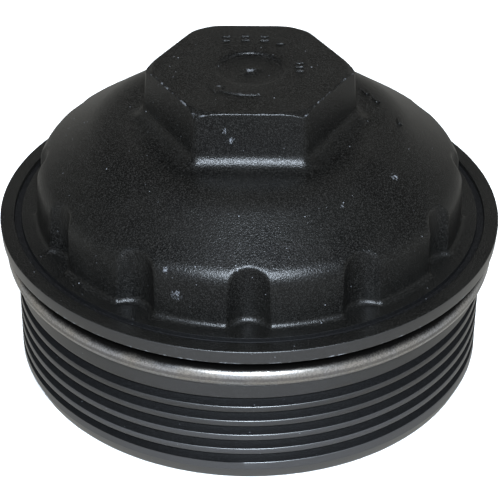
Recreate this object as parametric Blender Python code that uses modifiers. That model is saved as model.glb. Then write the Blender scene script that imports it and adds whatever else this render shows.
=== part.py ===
"""Screw-on oil filter cover with its housing seal, bypass valve and filter element.

The cover stands on the rim of its threaded skirt, with the hexagon on top. Its axis is Z, the rim is
the plane z = 0, and one flat of the hexagon and one flute of the grip band face -Y. The element, the
valve cage and the bypass valve sit inside the cover, on the same axis.
"""

import math

import bmesh
import bpy
from mathutils import Matrix

# Every length below is in millimetres, and is scaled by MM where it becomes geometry.
MM = 0.001
GAP = 0.3

# Driving dimensions of the cover
HEX_ACROSS_FLATS = 32.0
HEX_TOP = 57.8
HEX_CHAMFER_CIRCLE = 17.25
CROWN_TOP = 47.9
WALL = 3.0
BAND_RADIUS = 37.8
BAND_BASE_RADIUS = 38.1
FLUTE_COUNT = 12
FLUTE_RADIUS = 4.3
FLUTE_FLOOR_RADIUS = 36.0
FLANGE_RADIUS = 44.9
FLANGE_TOP = 29.5
FLANGE_UNDERSIDE = 26.9
THREAD_RADIUS = 42.15
THREAD_PITCH = 3.0
THREAD_DEPTH = 1.55
THREAD_CREST = 1.15
THREAD_FRONT_CREST = 3.5
LAND_TOP = 20.7
LAND_BOTTOM = 18.2
COLLAR_TOP = 4.0
COLLAR_BOTTOM = 2.6
RIM_RADIUS = 41.0
SKIRT_BORE = 38.5
SEAL_CORD = 4.0
SEAL_CENTRE_RADIUS = 41.95
SEAL_CENTRE_HEIGHT = 22.9

# Driving dimensions of the valve cage, of the bypass valve and of the element
BOSS_RADIUS = 15.2
BOSS_BORE = 12.0
BOSS_BOTTOM = 39.4
CAGE_SPIGOT_RADIUS = 12.6
CAGE_BORE = 10.4
CAGE_BOTTOM = 14.2
VALVE_LIFT = 3.5
STEM_RADIUS = 1.4
SPRING_RADIUS = 5.6
SPRING_WIRE = 1.0
SPRING_TURNS = 3.5
ELEMENT_RADIUS = 31.2
MEDIA_RADIUS = 29.8
MEDIA_INNER_RADIUS = 17.4
MEDIA_BOTTOM = 4.6
MEDIA_TOP = 30.3
PLEAT_COUNT = 40
TUBE_RADIUS = 16.3
TUBE_WALL = 1.3

ROUND_STEPS = 48
SMALL_STEPS = 24
THREAD_STEPS = 24
THREAD_ROOT = THREAD_RADIUS - THREAD_DEPTH

FINISHES = {
    "filter_cap": ((0.018, 0.018, 0.020), 0.48, 0.0),
    "housing_seal_ring": ((0.060, 0.052, 0.045), 0.32, 0.0),
    "valve_cage": ((0.030, 0.030, 0.032), 0.50, 0.0),
    "cage_snap_ring": ((0.45, 0.46, 0.48), 0.30, 1.0),
    "valve_seat_ring": ((0.72, 0.52, 0.24), 0.30, 1.0),
    "valve_disc": ((0.55, 0.55, 0.56), 0.30, 1.0),
    "valve_disc_seal": ((0.020, 0.020, 0.022), 0.60, 0.0),
    "stem_washer": ((0.60, 0.60, 0.61), 0.30, 1.0),
    "valve_stem": ((0.50, 0.51, 0.53), 0.25, 1.0),
    "bypass_spring": ((0.42, 0.43, 0.45), 0.28, 1.0),
    "spring_seat": ((0.55, 0.55, 0.56), 0.35, 1.0),
    "spring_seat_clip": ((0.30, 0.31, 0.33), 0.32, 1.0),
    "upper_end_plate": ((0.62, 0.63, 0.64), 0.35, 1.0),
    "lower_end_plate": ((0.62, 0.63, 0.64), 0.35, 1.0),
    "upper_bore_seal": ((0.022, 0.022, 0.024), 0.60, 0.0),
    "lower_bore_seal": ((0.022, 0.022, 0.024), 0.60, 0.0),
    "upper_potting_ring": ((0.50, 0.10, 0.05), 0.45, 0.0),
    "lower_potting_ring": ((0.50, 0.10, 0.05), 0.45, 0.0),
    "pleated_media": ((0.66, 0.47, 0.20), 0.85, 0.0),
    "pleat_seam_clip": ((0.60, 0.61, 0.62), 0.35, 1.0),
    "centre_tube": ((0.60, 0.61, 0.62), 0.38, 1.0),
}


def clear_scene():
    for obj in list(bpy.data.objects):
        bpy.data.objects.remove(obj)


def new_collection(name):
    collection = bpy.data.collections.new(name)
    bpy.context.scene.collection.children.link(collection)
    return collection


def finish_of(name):
    colour, roughness, metallic = FINISHES[name]
    material = bpy.data.materials.new(name)
    material.use_nodes = True
    shader = material.node_tree.nodes["Principled BSDF"]
    shader.inputs["Base Color"].default_value = (*colour, 1.0)
    shader.inputs["Roughness"].default_value = roughness
    shader.inputs["Metallic"].default_value = metallic
    return material


def object_from(bm, name, collection):
    mesh = bpy.data.meshes.new(name)
    bm.to_mesh(mesh)
    bm.free()
    obj = bpy.data.objects.new(name, mesh)
    collection.objects.link(obj)
    return obj


class Assembly:
    """The two collections, with one method for each way of making a solid."""

    def __init__(self):
        self.parts = new_collection("oil_filter_cover")
        self.cutters = new_collection("cutters")

    def turned(self, name, outline, steps=ROUND_STEPS, is_cutter=False):
        """A profile of (radius, height) points turned about Z. One that starts on the axis ends on it."""
        on_axis = outline[0][0] == 0
        bm = bmesh.new()
        points = [bm.verts.new((radius * MM, 0, height * MM)) for radius, height in outline]
        for start, end in zip(points, points[1:]):
            bm.edges.new((start, end))
        if not on_axis:
            bm.edges.new((points[-1], points[0]))
        obj = object_from(bm, name, self.cutters if is_cutter else self.parts)
        screw = obj.modifiers.new("turn", "SCREW")
        screw.steps = steps
        screw.render_steps = steps
        screw.use_merge_vertices = True
        screw.merge_threshold = 0.00001
        screw.use_smooth_shade = True
        return self.dressed(obj, is_cutter)

    def cylinder(self, name, radius, bottom, top, centre=(0, 0), steps=SMALL_STEPS, is_cutter=True):
        bm = bmesh.new()
        at = Matrix.Translation((centre[0] * MM, centre[1] * MM, (bottom + top) / 2 * MM))
        size = radius * MM
        depth = (top - bottom) * MM
        bmesh.ops.create_cone(
            bm, cap_ends=True, segments=steps, radius1=size, radius2=size, depth=depth, matrix=at
        )
        obj = object_from(bm, name, self.cutters if is_cutter else self.parts)
        return self.dressed(obj, is_cutter)

    def box(self, name, size, centre, angle=0.0, is_cutter=True):
        """A box of this size, centred here, then turned about Z by this angle."""
        bm = bmesh.new()
        place = Matrix.Translation([value * MM for value in centre])
        scale = Matrix.Diagonal([value * MM for value in size] + [1])
        bmesh.ops.create_cube(bm, size=1, matrix=Matrix.Rotation(angle, 4, "Z") @ place @ scale)
        obj = object_from(bm, name, self.cutters if is_cutter else self.parts)
        return self.dressed(obj, is_cutter)

    def dressed(self, obj, is_cutter):
        if is_cutter:
            obj.hide_render = True
            obj.display_type = "WIRE"
        else:
            obj.data.materials.append(finish_of(obj.name))
        return obj


def combine(obj, other, operation="DIFFERENCE"):
    boolean = obj.modifiers.new(other.name, "BOOLEAN")
    boolean.operation = operation
    boolean.object = other


def rounded(corners, is_closed=False, arc_step=math.radians(45)):
    """The outline through (radius, height, fillet) corners, with an arc at each corner that has a fillet."""
    outline = []
    count = len(corners)
    for index, (x, y, fillet) in enumerate(corners):
        is_end = not is_closed and index in (0, count - 1)
        if is_end or fillet == 0:
            outline.append((x, y))
            continue
        before = corners[index - 1]
        after = corners[(index + 1) % count]
        towards = math.atan2(before[1] - y, before[0] - x)
        away = math.atan2(after[1] - y, after[0] - x)
        turn = (away - towards + math.pi) % (2 * math.pi) - math.pi
        half = abs(turn) / 2
        middle = towards + turn / 2
        centre_x = x + fillet / math.sin(half) * math.cos(middle)
        centre_y = y + fillet / math.sin(half) * math.sin(middle)
        sweep = math.pi - 2 * half
        pieces = max(1, math.ceil(sweep / arc_step))
        for step in range(pieces + 1):
            offset = (step / pieces - 0.5) * sweep * (1 if turn < 0 else -1)
            angle = middle + math.pi + offset
            outline.append(
                (centre_x + fillet * math.cos(angle), centre_y + fillet * math.sin(angle))
            )
    return outline


def cap_outline():
    """The turned body of the cover, from the crown down its outside and up its inside."""
    slope = 0.723
    crown_edge = BAND_RADIUS - 12.05
    shoulder = CROWN_TOP - slope * (BAND_RADIUS - crown_edge)
    run = WALL * math.sin(math.atan(slope))
    drop = WALL * math.cos(math.atan(slope))
    inner_crown = CROWN_TOP - WALL
    inner_crown_edge = crown_edge - run + (CROWN_TOP - drop - inner_crown) / slope
    inner_band = FLUTE_FLOOR_RADIUS - WALL + 0.6
    inner_shoulder = inner_crown - slope * (inner_band - inner_crown_edge)
    ring_groove_top = BOSS_BOTTOM + 2.3
    ring_groove_bottom = BOSS_BOTTOM + 1.0
    return rounded(
        [
            (0, CROWN_TOP, 0),
            (crown_edge, CROWN_TOP, 10.0),
            (BAND_RADIUS, shoulder, 2.2),
            (BAND_BASE_RADIUS, FLANGE_TOP, 1.2),
            (41.1, FLANGE_TOP, 0),
            (41.4, FLANGE_TOP - 0.45, 0),
            (42.6, FLANGE_TOP - 0.45, 0),
            (42.9, FLANGE_TOP, 0),
            (FLANGE_RADIUS, FLANGE_TOP, 0.3),
            (FLANGE_RADIUS - 0.2, FLANGE_UNDERSIDE, 0),
            (41.3, FLANGE_UNDERSIDE, 0),
            (41.3, 25.3, 0),
            (SEAL_CENTRE_RADIUS - SEAL_CORD / 2 - GAP, 25.3, 0),
            (SEAL_CENTRE_RADIUS - SEAL_CORD / 2 - GAP, LAND_TOP - 0.1, 0),
            (THREAD_RADIUS, LAND_TOP - 0.1, 0.3),
            (THREAD_RADIUS, LAND_BOTTOM, 0),
            (THREAD_ROOT, LAND_BOTTOM - 0.9, 0),
            (THREAD_ROOT, COLLAR_TOP + 0.9, 0),
            (THREAD_RADIUS, COLLAR_TOP, 0),
            (THREAD_RADIUS, COLLAR_BOTTOM, 0),
            (RIM_RADIUS, 0, 0),
            (SKIRT_BORE, 0, 0),
            (SKIRT_BORE, FLANGE_UNDERSIDE - 2.9, 1.5),
            (inner_band, FLANGE_UNDERSIDE, 1.5),
            (inner_band, inner_shoulder, 2.0),
            (inner_crown_edge, inner_crown, 8.0),
            (BOSS_RADIUS, inner_crown, 0),
            (BOSS_RADIUS, BOSS_BOTTOM, 0),
            (BOSS_BORE, BOSS_BOTTOM, 0),
            (BOSS_BORE, ring_groove_bottom, 0),
            (BOSS_BORE + 0.9, ring_groove_bottom, 0),
            (BOSS_BORE + 0.9, ring_groove_top, 0),
            (BOSS_BORE, ring_groove_top, 0),
            (BOSS_BORE, inner_crown, 0),
            (0, inner_crown, 0),
        ]
    )


def helical_ridge(assembly, name):
    """The thread as a right-hand ridge of trapezoid section, whose ends run into the collar and the land."""
    buried = 0.5
    root_half = 0.47 * THREAD_PITCH
    # The crest stays a hair inside the facets of the land and the collar, so that the ends vanish in them.
    crest = THREAD_RADIUS * math.cos(math.pi / ROUND_STEPS) - 0.03
    section = [
        (THREAD_ROOT - buried, -root_half),
        (crest, -THREAD_CREST / 2),
        (crest, THREAD_CREST / 2),
        (THREAD_ROOT - buried, root_half),
    ]
    lowest = (COLLAR_TOP + COLLAR_BOTTOM) / 2
    highest = LAND_BOTTOM + 0.75
    front = math.radians(-90)
    start = front + (lowest - THREAD_FRONT_CREST) / THREAD_PITCH * 2 * math.pi
    turns = (highest - lowest) / THREAD_PITCH
    count = round(turns * THREAD_STEPS)
    bm = bmesh.new()
    rings = []
    for step in range(count + 1):
        angle = start + step / count * turns * 2 * math.pi
        height = lowest + step / count * (highest - lowest)
        rings.append(
            [
                bm.verts.new(
                    (
                        radius * math.cos(angle) * MM,
                        radius * math.sin(angle) * MM,
                        (height + offset) * MM,
                    )
                )
                for radius, offset in section
            ]
        )
    for ring, following in zip(rings, rings[1:]):
        for side in range(len(section)):
            other = (side + 1) % len(section)
            bm.faces.new((ring[side], following[side], following[other], ring[other]))
    bm.faces.new(rings[0])
    bm.faces.new(reversed(rings[-1]))
    bmesh.ops.recalc_face_normals(bm, faces=bm.faces)
    return assembly.dressed(object_from(bm, name, assembly.cutters), True)


def hexagon(assembly, name):
    """The wrench hexagon, with a flat towards -Y and its corners bevelled at 30 degrees."""
    corner_radius = HEX_ACROSS_FLATS / math.sqrt(3)
    bottom = CROWN_TOP - 1.5
    prism = assembly.cylinder(name, corner_radius, bottom, HEX_TOP, steps=6)
    # A cone of six segments starts with a corner at +Y, so it is turned by half a segment.
    prism.data.transform(Matrix.Rotation(math.radians(30), 4, "Z"))
    reach = corner_radius + 2
    drop = (reach - HEX_CHAMFER_CIRCLE) * math.tan(math.radians(30))
    turned_limit = assembly.turned(
        "hexagon_chamfer",
        [
            (0, HEX_TOP + 0.5),
            (HEX_CHAMFER_CIRCLE - 0.5 / math.tan(math.radians(30)), HEX_TOP + 0.5),
            (reach, HEX_TOP - drop),
            (reach, bottom - 1),
            (0, bottom - 1),
        ],
        is_cutter=True,
    )
    combine(prism, turned_limit, "INTERSECT")
    return prism


def build_cap(assembly):
    cap = assembly.turned("filter_cap", cap_outline())
    combine(cap, hexagon(assembly, "hexagon"), "UNION")
    combine(cap, helical_ridge(assembly, "thread_ridge"), "UNION")
    for index in range(FLUTE_COUNT):
        angle = math.radians(-90 + index * 360 / FLUTE_COUNT)
        reach = FLUTE_FLOOR_RADIUS + FLUTE_RADIUS
        centre = (reach * math.cos(angle), reach * math.sin(angle))
        name = f"flute_{index + 1:02d}"
        cutter = assembly.cylinder(name, FLUTE_RADIUS, FLANGE_TOP + GAP, HEX_TOP, centre, steps=16)
        combine(cap, cutter)
    combine(cap, assembly.cylinder("hexagon_core", 9.0, CROWN_TOP - WALL - 0.6, HEX_TOP - 4.3))
    combine(cap, assembly.cylinder("gate_dimple", 6.0, HEX_TOP - 0.5, HEX_TOP + 1))


def build_housing_seal(assembly):
    count = 10
    section = [
        (
            SEAL_CENTRE_RADIUS + SEAL_CORD / 2 * math.cos(-index / count * 2 * math.pi),
            SEAL_CENTRE_HEIGHT + SEAL_CORD / 2 * math.sin(-index / count * 2 * math.pi),
        )
        for index in range(count)
    ]
    assembly.turned("housing_seal_ring", section)


def ring_outline(inner, outer, bottom, top):
    return [(outer, top), (outer, bottom), (inner, bottom), (inner, top)]


def split(assembly, ring, gap, centre_radius, height, angle):
    """Cuts the gap of a spring ring that is closed up to fit its groove."""
    size = (6, gap, 4)
    centre = (centre_radius, 0, height)
    combine(ring, assembly.box(ring.name + "_split", size, centre, angle))


def build_cage(assembly):
    hub_bottom = BOSS_BOTTOM + 2.6
    shoulder_top = 36.2
    shoulder_bottom = 34.7
    clip_groove = CAGE_BOTTOM + 0.7
    seat_step = 31.5
    neck_bore = 7.7
    cage = assembly.turned(
        "valve_cage",
        [
            (0, hub_bottom + 2.2),
            (BOSS_BORE - 0.4, hub_bottom + 2.2),
            (BOSS_BORE - 0.4, hub_bottom),
            (10.2, hub_bottom),
            (10.2, shoulder_top),
            (15.6, shoulder_top),
            (15.6, shoulder_bottom),
            (CAGE_SPIGOT_RADIUS, shoulder_bottom),
            (CAGE_SPIGOT_RADIUS, CAGE_BOTTOM),
            (CAGE_BORE, CAGE_BOTTOM),
            (CAGE_BORE, clip_groove),
            (CAGE_BORE + 0.9, clip_groove),
            (CAGE_BORE + 0.9, clip_groove + 1.4),
            (CAGE_BORE, clip_groove + 1.4),
            (CAGE_BORE, seat_step),
            (neck_bore, seat_step),
            (neck_bore, hub_bottom),
            (0, hub_bottom),
        ],
        SMALL_STEPS,
    )
    window_height = BOSS_BOTTOM - 0.1 - shoulder_top - 0.5
    window_middle = shoulder_top + 0.5 + window_height / 2
    for index in range(2):
        name = f"cage_window_{index + 1}"
        angle = math.radians(90 * index)
        cutter = assembly.box(name, (24, 8, window_height), (0, 0, window_middle), angle)
        combine(cage, cutter)
    ring = assembly.turned(
        "cage_snap_ring",
        ring_outline(10.7, BOSS_BORE + 0.6, BOSS_BOTTOM + 1.2, BOSS_BOTTOM + 2.1),
        SMALL_STEPS,
    )
    split(assembly, ring, 3.0, 11.7, BOSS_BOTTOM + 1.65, math.radians(60))
    clip = assembly.turned(
        "spring_seat_clip",
        ring_outline(8.9, CAGE_BORE + 0.6, clip_groove + 0.2, clip_groove + 1.2),
        SMALL_STEPS,
    )
    split(assembly, clip, 3.0, 10.0, clip_groove + 0.7, math.radians(120))


def build_valve(assembly):
    assembly.turned("valve_seat_ring", ring_outline(6.2, CAGE_BORE - GAP, 29.9, 31.2), SMALL_STEPS)
    assembly.turned(
        "valve_disc_seal", ring_outline(STEM_RADIUS + GAP, 8.0, 28.5, 29.5), SMALL_STEPS
    )
    assembly.turned(
        "valve_disc",
        rounded(
            [
                (8.4, 28.2, 0),
                (8.4, 27.1, 0.3),
                (STEM_RADIUS + GAP, 27.1, 0),
                (STEM_RADIUS + GAP, 28.2, 0),
            ],
            is_closed=True,
        ),
        SMALL_STEPS,
    )
    assembly.turned("stem_washer", ring_outline(STEM_RADIUS + GAP, 4.6, 29.8, 30.3), SMALL_STEPS)
    assembly.turned(
        "valve_stem",
        [
            (0, 31.4),
            (1.8, 31.3),
            (2.8, 30.9),
            (2.8, 30.6),
            (STEM_RADIUS, 30.6),
            (STEM_RADIUS, 14.0),
            (1.0, 13.6),
            (0, 13.6),
        ],
        20,
    )
    seat = assembly.turned(
        "spring_seat",
        [
            (CAGE_BORE - GAP, 17.7),
            (CAGE_BORE - GAP, 16.7),
            (3.3, 16.7),
            (3.3, 15.0),
            (STEM_RADIUS + 0.4, 15.0),
            (STEM_RADIUS + 0.4, 17.7),
        ],
        SMALL_STEPS,
    )
    for index in range(6):
        angle = math.radians(60 * index)
        centre = (7.9 * math.cos(angle), 7.9 * math.sin(angle))
        name = f"seat_hole_{index + 1}"
        combine(seat, assembly.cylinder(name, 1.5, 16, 18.5, centre, steps=12))


def build_spring(assembly):
    """An open coil between the valve disc and the spring seat."""
    bottom = 17.7 + GAP + SPRING_WIRE / 2
    top = 27.1 - GAP - SPRING_WIRE / 2
    per_turn = 10
    count = round(SPRING_TURNS * per_turn)
    curve = bpy.data.curves.new("bypass_spring", "CURVE")
    curve.dimensions = "3D"
    curve.bevel_depth = SPRING_WIRE / 2 * MM
    curve.bevel_resolution = 2
    curve.use_fill_caps = True
    spline = curve.splines.new("POLY")
    spline.points.add(count)
    for step, point in enumerate(spline.points):
        angle = step / per_turn * 2 * math.pi
        height = bottom + (top - bottom) * step / count
        point.co = (
            SPRING_RADIUS * math.cos(angle) * MM,
            SPRING_RADIUS * math.sin(angle) * MM,
            height * MM,
            1,
        )
    obj = bpy.data.objects.new("bypass_spring", curve)
    assembly.parts.objects.link(obj)
    assembly.dressed(obj, False)


def build_end_plates(assembly):
    lip = 2.2
    lip_bore = ELEMENT_RADIUS - 0.8
    bottom = 31.6
    top = 33.6
    assembly.turned(
        "upper_end_plate",
        rounded(
            [
                (ELEMENT_RADIUS, top, 0.8),
                (ELEMENT_RADIUS, bottom - lip, 0),
                (lip_bore, bottom - lip, 0),
                (lip_bore, bottom, 0),
                (14.2, bottom, 0),
                (14.2, bottom + 0.7, 0),
                (15.5, bottom + 0.7, 0),
                (15.5, top, 0),
            ],
            is_closed=True,
        ),
    )
    bottom = 1.3
    top = 3.3
    assembly.turned(
        "lower_end_plate",
        rounded(
            [
                (ELEMENT_RADIUS, top + lip, 0),
                (ELEMENT_RADIUS, bottom, 0.8),
                (10.8, bottom, 0),
                (10.8, bottom + 0.6, 0),
                (12.3, bottom + 0.6, 0),
                (12.3, top, 0),
                (lip_bore, top, 0),
                (lip_bore, top + lip, 0),
            ],
            is_closed=True,
        ),
    )
    upper_seal = ring_outline(CAGE_SPIGOT_RADIUS + GAP, 15.2, 32.6, 34.4)
    lower_seal = ring_outline(9.2, 12.0, 2.2, 4.0)
    assembly.turned("upper_bore_seal", upper_seal, SMALL_STEPS)
    assembly.turned("lower_bore_seal", lower_seal, SMALL_STEPS)
    for name, bottom, top in (
        ("upper_potting_ring", MEDIA_TOP + GAP, 31.3),
        ("lower_potting_ring", 3.6, MEDIA_BOTTOM - GAP),
    ):
        outline = ring_outline(TUBE_RADIUS + 0.7, lip_bore - 0.4, bottom, top)
        assembly.turned(name, outline)


def build_media(assembly):
    """One folded sheet: its outer and its inner face zigzag between the same radii, a sheet apart."""
    sheet = 2.3
    loops = []
    bm = bmesh.new()
    for tip, valley in (
        (MEDIA_RADIUS, MEDIA_INNER_RADIUS + sheet),
        (MEDIA_RADIUS - sheet, MEDIA_INNER_RADIUS),
    ):
        loop = []
        for index in range(2 * PLEAT_COUNT):
            angle = index / (2 * PLEAT_COUNT) * 2 * math.pi
            radius = (valley if index % 2 else tip) * MM
            loop.append(
                bm.verts.new((radius * math.cos(angle), radius * math.sin(angle), MEDIA_BOTTOM * MM))
            )
        loops.append(loop)
    outer, inner = loops
    faces = []
    for index in range(2 * PLEAT_COUNT):
        after = (index + 1) % (2 * PLEAT_COUNT)
        faces.append(bm.faces.new((outer[index], outer[after], inner[after], inner[index])))
    raised = bmesh.ops.extrude_face_region(bm, geom=faces)["geom"]
    lift = (0, 0, (MEDIA_TOP - MEDIA_BOTTOM) * MM)
    points = [item for item in raised if isinstance(item, bmesh.types.BMVert)]
    bmesh.ops.translate(bm, vec=lift, verts=points)
    bmesh.ops.recalc_face_normals(bm, faces=bm.faces)
    assembly.dressed(object_from(bm, "pleated_media", assembly.parts), False)
    # The clip closes the seam of the sheet, in one of the valleys.
    valley_angle = math.radians(360 / PLEAT_COUNT * 0.5)
    size = (4.0, 1.0, MEDIA_TOP - MEDIA_BOTTOM)
    centre = (26.5, 0, (MEDIA_TOP + MEDIA_BOTTOM) / 2)
    assembly.box("pleat_seam_clip", size, centre, valley_angle, is_cutter=False)


def build_centre_tube(assembly):
    tube = assembly.turned(
        "centre_tube",
        ring_outline(TUBE_RADIUS - TUBE_WALL, TUBE_RADIUS, 3.6, 31.3),
        SMALL_STEPS,
    )
    slots = 3
    rows = 4
    for row in range(rows):
        height = 7.2 + row * 6.7
        for index in range(slots):
            angle = math.radians(180 / slots * (index + 0.5 * (row % 2)))
            name = f"tube_slot_{row + 1}_{index + 1}"
            cutter = assembly.box(name, (40, 6.5, 3.6), (0, 0, height), angle)
            combine(tube, cutter)


def smooth_round_faces(assembly):
    for obj in assembly.parts.objects:
        if obj.type == "MESH":
            obj.data.shade_smooth()
            obj.data.set_sharp_from_angle(angle=math.radians(35))


def main():
    clear_scene()
    assembly = Assembly()
    build_cap(assembly)
    build_housing_seal(assembly)
    build_cage(assembly)
    build_valve(assembly)
    build_spring(assembly)
    build_end_plates(assembly)
    build_media(assembly)
    build_centre_tube(assembly)
    smooth_round_faces(assembly)


main()
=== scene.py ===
import math

import bmesh
import bpy
from mathutils import Matrix, Vector


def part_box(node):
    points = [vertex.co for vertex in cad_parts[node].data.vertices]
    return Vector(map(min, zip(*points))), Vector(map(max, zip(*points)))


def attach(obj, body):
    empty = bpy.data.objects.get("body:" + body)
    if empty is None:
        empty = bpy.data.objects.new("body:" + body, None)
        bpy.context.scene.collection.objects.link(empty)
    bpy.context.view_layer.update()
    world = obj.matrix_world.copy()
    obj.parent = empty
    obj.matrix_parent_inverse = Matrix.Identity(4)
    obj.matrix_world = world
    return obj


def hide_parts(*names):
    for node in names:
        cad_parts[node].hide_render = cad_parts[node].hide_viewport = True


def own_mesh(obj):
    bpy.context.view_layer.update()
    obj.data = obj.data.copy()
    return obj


bl_info = {
    "name": "Oil Filter Cover",
    "version": (1, 0, 0),
    "blender": (4, 5, 0),
    "location": "View3D > Sidebar > Oil filter",
    "description": "Builds a screw-on oil filter cover with its seal, valve and element",
    "category": "Object",
}

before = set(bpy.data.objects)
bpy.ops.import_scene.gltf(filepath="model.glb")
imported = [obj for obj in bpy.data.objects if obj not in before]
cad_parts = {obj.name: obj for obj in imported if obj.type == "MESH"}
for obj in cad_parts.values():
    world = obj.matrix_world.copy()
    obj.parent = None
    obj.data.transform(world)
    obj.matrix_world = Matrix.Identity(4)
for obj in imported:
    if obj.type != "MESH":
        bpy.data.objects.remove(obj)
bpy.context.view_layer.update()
MM = 0.001
TURN = 2 * math.pi
SIXTH = TURN / 6
# How steeply the dome falls, where it starts to, in from the grip band, and the radius of its bend there.
DOME_SLOPE = 0.723
DOME_RUN = 12.05 * MM
DOME_BEND = 10 * MM


def reach_of(node):
    """Outer radius, lowest height and highest height of a node that is round about Z, in metres."""
    low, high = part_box(node)
    return high.x, low.z, high.z


COVER_RADIUS, _, COVER_TOP = reach_of("filter_cap")
SEAL_RADIUS, SEAL_BOTTOM, SEAL_TOP = reach_of("housing_seal_ring")
MEDIA_RADIUS, MEDIA_BOTTOM, MEDIA_TOP = reach_of("pleated_media")
SPRING_RADIUS, SPRING_BOTTOM, SPRING_TOP = reach_of("bypass_spring")


def length(name, default, description):
    return bpy.props.FloatProperty(
        name=name, default=default, description=description, unit="LENGTH", precision=5
    )


def colour(name, default, description):
    return bpy.props.FloatVectorProperty(
        name=name, default=default, description=description, subtype="COLOR", size=3, min=0, max=1
    )


class CoverSizes(bpy.types.PropertyGroup):
    """Sizes of the moulded cover, from its hexagon down to its rim."""

    across_flats: length("Across flats", 32.0 * MM, "Wrench size of the hexagon")
    draft: length("Draft", 0.4 * MM, "How far a flat leans out from its top to its base")
    corner: length("Corner", 1.9 * MM, "Radius of the hexagon's upright corners")
    chamfer_circle: length("Chamfer circle", 16.95 * MM, "Radius where the corner bevel starts")
    base_fillet: length("Base fillet", 2.9 * MM, "Radius between the hexagon and the dome")
    mark_height: length("Mark height", 0.22 * MM, "How far the raised marks stand out")
    edge: length("Edge", 0.3 * MM, "Radius of the hexagon's worn edges")
    crown: length("Crown", 47.6 * MM, "Height of the dome round the hexagon")
    shoulder_fillet: length("Shoulder fillet", 4.2 * MM, "Radius between the dome and the band")
    wall: length("Wall", 3.0 * MM, "Thickness of the dome")
    band_radius: length("Band radius", 37.8 * MM, "Radius of the grip band at its shoulder")
    band_base: length("Band base", 38.1 * MM, "Radius of the grip band at the flange")
    flute_radius: length("Flute radius", 4.3 * MM, "Radius of one half-round flute")
    flute_floor: length("Flute floor", 36.0 * MM, "Distance from the axis to a flute's floor")
    flutes: bpy.props.IntProperty(name="Flutes", default=12, description="Flutes round the band")
    flange_top: length("Flange top", 29.5 * MM, "Height of the flange's upper face")
    flange_under: length("Flange underside", 26.9 * MM, "Height of the flange's lower face")
    thread_radius: length("Thread radius", 42.15 * MM, "Radius of the thread's crest")
    thread_depth: length("Thread depth", 1.55 * MM, "Depth of the thread")
    pitch: length("Pitch", 3.0 * MM, "Rise of the thread in one turn")
    front_crest: length("Front crest", 3.5 * MM, "Height of the lowest crest at the front")
    land_bottom: length("Land bottom", 18.2 * MM, "Height where the thread meets the plain land")
    land_top: length("Land top", 20.6 * MM, "Height of the seal groove's lower wall")
    collar_top: length("Collar top", 4.0 * MM, "Height where the thread meets the collar")
    skirt_bore: length("Skirt bore", 38.5 * MM, "Inner radius of the skirt")


class PartSizes(bpy.types.PropertyGroup):
    """Sizes of the pieces inside the cover."""

    pleats: bpy.props.IntProperty(name="Pleats", default=40, description="Folds in the media")
    paper: length("Paper", 0.55 * MM, "Thickness of the media")
    wire: length("Wire", 1.0 * MM, "Thickness of the spring's wire")
    spring_turns: bpy.props.FloatProperty(
        name="Spring turns", default=3.5, description="Turns of the bypass spring"
    )
    valve_lift: length("Valve lift", 3.5 * MM, "Travel of the bypass valve")


class Finishes(bpy.types.PropertyGroup):
    """Colours of the pieces."""

    nylon: colour("Nylon", (0.006, 0.006, 0.006), "Glass-filled nylon of the cover")
    nylon_worn: colour("Worn nylon", (0.20, 0.21, 0.23), "Nylon where it is rubbed pale")
    seal: colour("Seal", (0.42, 0.385, 0.34), "Oiled rubber of the housing seal")
    rubber: colour("Rubber", (0.015, 0.015, 0.017), "Rubber of the inner seals")
    paper: colour("Paper", (0.60, 0.40, 0.16), "Resin-soaked filter paper")
    plastisol: colour("Plastisol", (0.42, 0.07, 0.035), "Potting between media and plates")
    steel: colour("Steel", (0.55, 0.56, 0.58), "Zinc-plated and tinned sheet steel")
    spring_steel: colour("Spring steel", (0.36, 0.37, 0.39), "Wire and snap rings")
    brass: colour("Brass", (0.70, 0.49, 0.20), "Valve seat")


class StageSizes(bpy.types.PropertyGroup):
    """The floor, the lamps and the camera."""

    distance: length("Distance", 380.6 * MM, "From the camera to the point it looks at")
    aim_height: length("Aim height", 19.66 * MM, "Height of the point the camera looks at")
    elevation: bpy.props.FloatProperty(
        name="Elevation", default=math.radians(33.66), subtype="ANGLE", description="Camera angle"
    )
    roll: bpy.props.FloatProperty(
        name="Roll", default=math.radians(0.40), subtype="ANGLE", description="Camera tilt"
    )
    lens: bpy.props.FloatProperty(name="Lens", default=149.3, description="Focal length in mm")
    shift: bpy.props.FloatProperty(name="Shift", default=0.0019, description="Sideways shift")
    floor: colour("Floor", (0.80, 0.80, 0.79), "Colour of the floor")


# ---------------------------------------------------------------- shaders


class Value:
    """A number socket. Arithmetic on it adds Math nodes."""

    def __init__(self, shader, socket):
        self.shader = shader
        self.socket = socket

    def math(self, operation, *values):
        node = self.shader.node("ShaderNodeMath", {"operation": operation}, dict(enumerate(values)))
        return Value(self.shader, node.outputs[0])

    def __add__(self, other):
        return self.math("ADD", self, other)

    def __sub__(self, other):
        return self.math("SUBTRACT", self, other)

    def __rsub__(self, other):
        return self.math("SUBTRACT", other, self)

    def __mul__(self, other):
        return self.math("MULTIPLY", self, other)

    def __truediv__(self, other):
        return self.math("DIVIDE", self, other)

    def __rtruediv__(self, other):
        return self.math("DIVIDE", other, self)

    def __abs__(self):
        return self.math("ABSOLUTE", self)

    __radd__ = __add__
    __rmul__ = __mul__

    def fraction(self):
        return self.math("FRACT", self)

    def highest(self, other):
        return self.math("MAXIMUM", self, other)


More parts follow.
